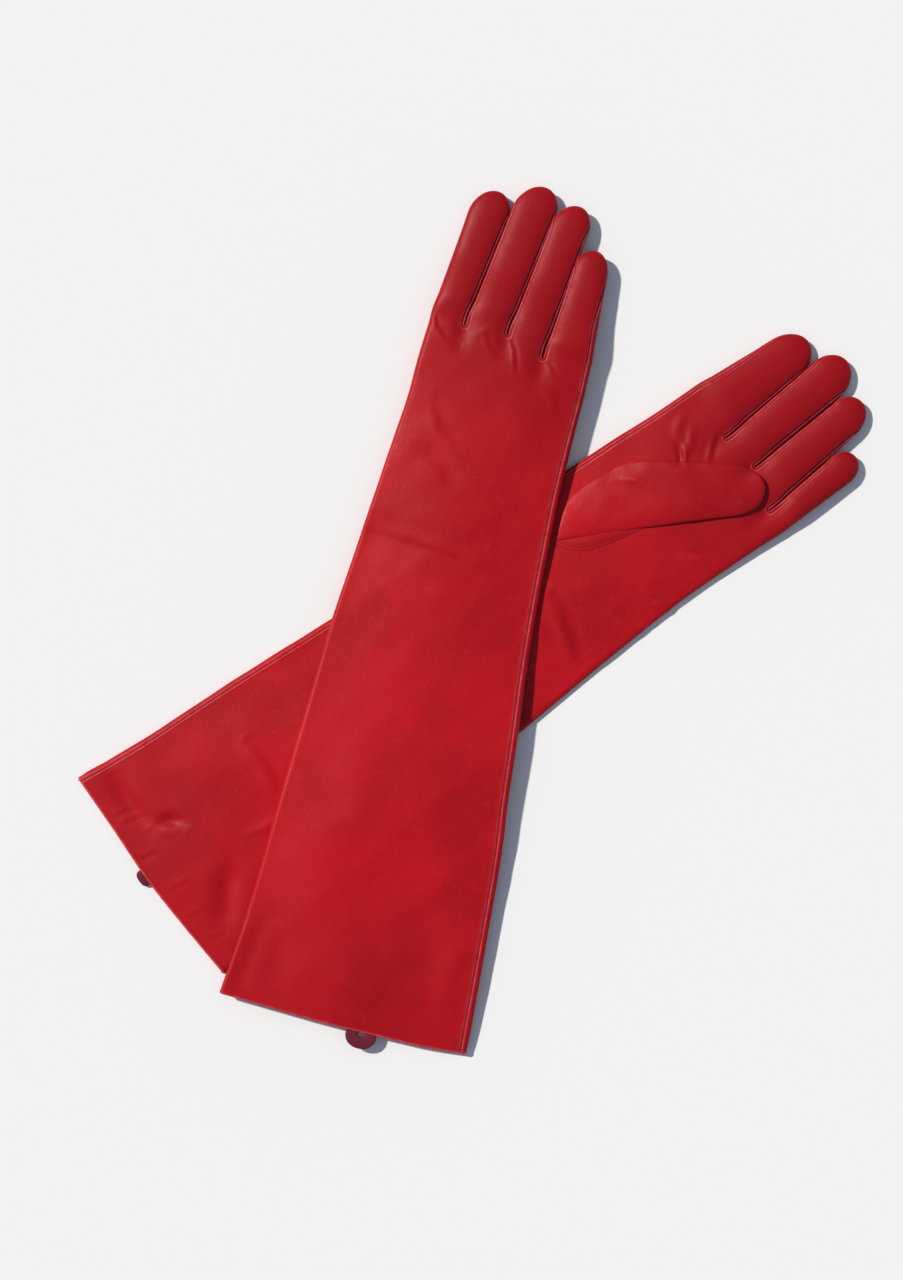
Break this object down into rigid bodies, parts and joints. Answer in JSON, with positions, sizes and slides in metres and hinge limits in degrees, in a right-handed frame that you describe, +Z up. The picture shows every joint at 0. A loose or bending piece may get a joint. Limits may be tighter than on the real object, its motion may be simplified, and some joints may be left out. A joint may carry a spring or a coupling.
{
  "type": "opera gloves",
  "caption": "Pair of long smooth leather opera gloves with sewn finger stalls, lying crossed on a flat surface, one palm up and one back up.",
  "frame": {"origin": "centre of the pair's outline, on the surface that it lies on", "axes": "+Z up off the surface; +Y towards the fingers of the upper, right glove; +X towards the fingers of the lower, left glove"},
  "size_m": [0.4393, 0.4827, 0.0179],
  "materials": {
    "leather": "smooth semi-gloss nappa",
    "fourchette_leather": "smooth semi-gloss nappa",
    "gusset_leather": "smooth semi-gloss nappa",
    "hem_leather": "smooth semi-gloss nappa",
    "seam": "sewn edge",
    "lining": "satin",
    "loop_tape": "satin tape"
  },
  "bodies": {
    "left_glove": {"left_back_panel": "leather", "left_palm_panel": "leather", "left_side_seams": "seam", "left_hem": "hem_leather", "left_lining": "lining", "left_loop_anchor": "loop_tape", "left_thumb_gusset": "gusset_leather", "left_index_middle_crotch": "fourchette_leather", "left_middle_ring_crotch": "fourchette_leather", "left_ring_little_crotch": "fourchette_leather"},
    "left_thumb": {"left_thumb": "leather", "left_thumb_lining": "lining"},
    "left_index": {"left_index_stall": "leather", "left_index_fourchette": "fourchette_leather", "left_index_lining": "lining"},
    "left_middle": {"left_middle_stall": "leather", "left_middle_fourchette": "fourchette_leather", "left_middle_lining": "lining"},
    "left_ring": {"left_ring_stall": "leather", "left_ring_fourchette": "fourchette_leather", "left_ring_lining": "lining"},
    "left_little": {"left_little_stall": "leather", "left_little_fourchette": "fourchette_leather", "left_little_lining": "lining"},
    "left_hang_loop": {"left_hang_loop": "loop_tape"},
    "right_glove": {"right_back_panel": "leather", "right_palm_panel": "leather", "right_side_seams": "seam", "right_hem": "hem_leather", "right_lining": "lining", "right_loop_anchor": "loop_tape", "right_thumb_gusset": "gusset_leather", "right_index_middle_crotch": "fourchette_leather", "right_middle_ring_crotch": "fourchette_leather", "right_ring_little_crotch": "fourchette_leather"},
    "right_thumb": {"right_thumb": "leather", "right_thumb_lining": "lining"},
    "right_index": {"right_index_stall": "leather", "right_index_fourchette": "fourchette_leather", "right_index_lining": "lining"},
    "right_middle": {"right_middle_stall": "leather", "right_middle_fourchette": "fourchette_leather", "right_middle_lining": "lining"},
    "right_ring": {"right_ring_stall": "leather", "right_ring_fourchette": "fourchette_leather", "right_ring_lining": "lining"},
    "right_little": {"right_little_stall": "leather", "right_little_fourchette": "fourchette_leather", "right_little_lining": "lining"},
    "right_hang_loop": {"right_hang_loop": "loop_tape"}
  },
  "joints": [
    {"name": "right_glove_lift", "type": "slide", "parent": "left_glove", "child": "right_glove", "axis": [0, 0, 1], "range_m": [0, 0.15]},
    {"name": "left_thumb_swing", "type": "hinge", "parent": "left_glove", "child": "left_thumb", "pos_m": [0.07863, 0.06519, 0.0129], "axis": [0, 0, 1], "range_deg": [0, 42]},
    {"name": "left_index_fold", "type": "hinge", "parent": "left_glove", "child": "left_index", "pos_m": [0.14689, 0.12596, 0.009], "axis": [0.5934, -0.8049, 0], "range_deg": [0, 65]},
    {"name": "left_middle_fold", "type": "hinge", "parent": "left_glove", "child": "left_middle", "pos_m": [0.16531, 0.10603, 0.009], "axis": [0.5934, -0.8049, 0], "range_deg": [0, 65]},
    {"name": "left_ring_fold", "type": "hinge", "parent": "left_glove", "child": "left_ring", "pos_m": [0.17844, 0.08485, 0.009], "axis": [0.5934, -0.8049, 0], "range_deg": [0, 65]},
    {"name": "left_little_fold", "type": "hinge", "parent": "left_glove", "child": "left_little", "pos_m": [0.18486, 0.06434, 0.009], "axis": [0.5934, -0.8049, 0], "range_deg": [0, 65]},
    {"name": "left_loop_flip", "type": "hinge", "parent": "left_glove", "child": "left_hang_loop", "pos_m": [-0.18445, -0.14368, 0.00235], "axis": [-0.5934, 0.8049, 0], "range_deg": [0, 90]},
    {"name": "right_thumb_swing", "type": "hinge", "parent": "right_glove", "child": "right_thumb", "pos_m": [-0.01212, 0.09417, 0.0036], "axis": [0, 0, 1], "range_deg": [0, 42]},
    {"name": "right_index_fold", "type": "hinge", "parent": "right_glove", "child": "right_index", "pos_m": [-0.00602, 0.18515, 0.017], "axis": [0.974, -0.2267, 0], "range_deg": [0, 40]},
    {"name": "right_middle_fold", "type": "hinge", "parent": "right_glove", "child": "right_middle", "pos_m": [0.01719, 0.18283, 0.017], "axis": [0.974, -0.2267, 0], "range_deg": [0, 40]},
    {"name": "right_ring_fold", "type": "hinge", "parent": "right_glove", "child": "right_ring", "pos_m": [0.03985, 0.17551, 0.017], "axis": [0.974, -0.2267, 0], "range_deg": [0, 40]},
    {"name": "right_little_fold", "type": "hinge", "parent": "right_glove", "child": "right_little", "pos_m": [0.05918, 0.16382, 0.017], "axis": [0.974, -0.2267, 0], "range_deg": [0, 40]},
    {"name": "right_loop_flip", "type": "hinge", "parent": "right_glove", "child": "right_hang_loop", "pos_m": [-0.06292, -0.23048, 0.00722], "axis": [-0.9733, 0.224, 0.0495], "range_deg": [0, 90]}
  ]
}
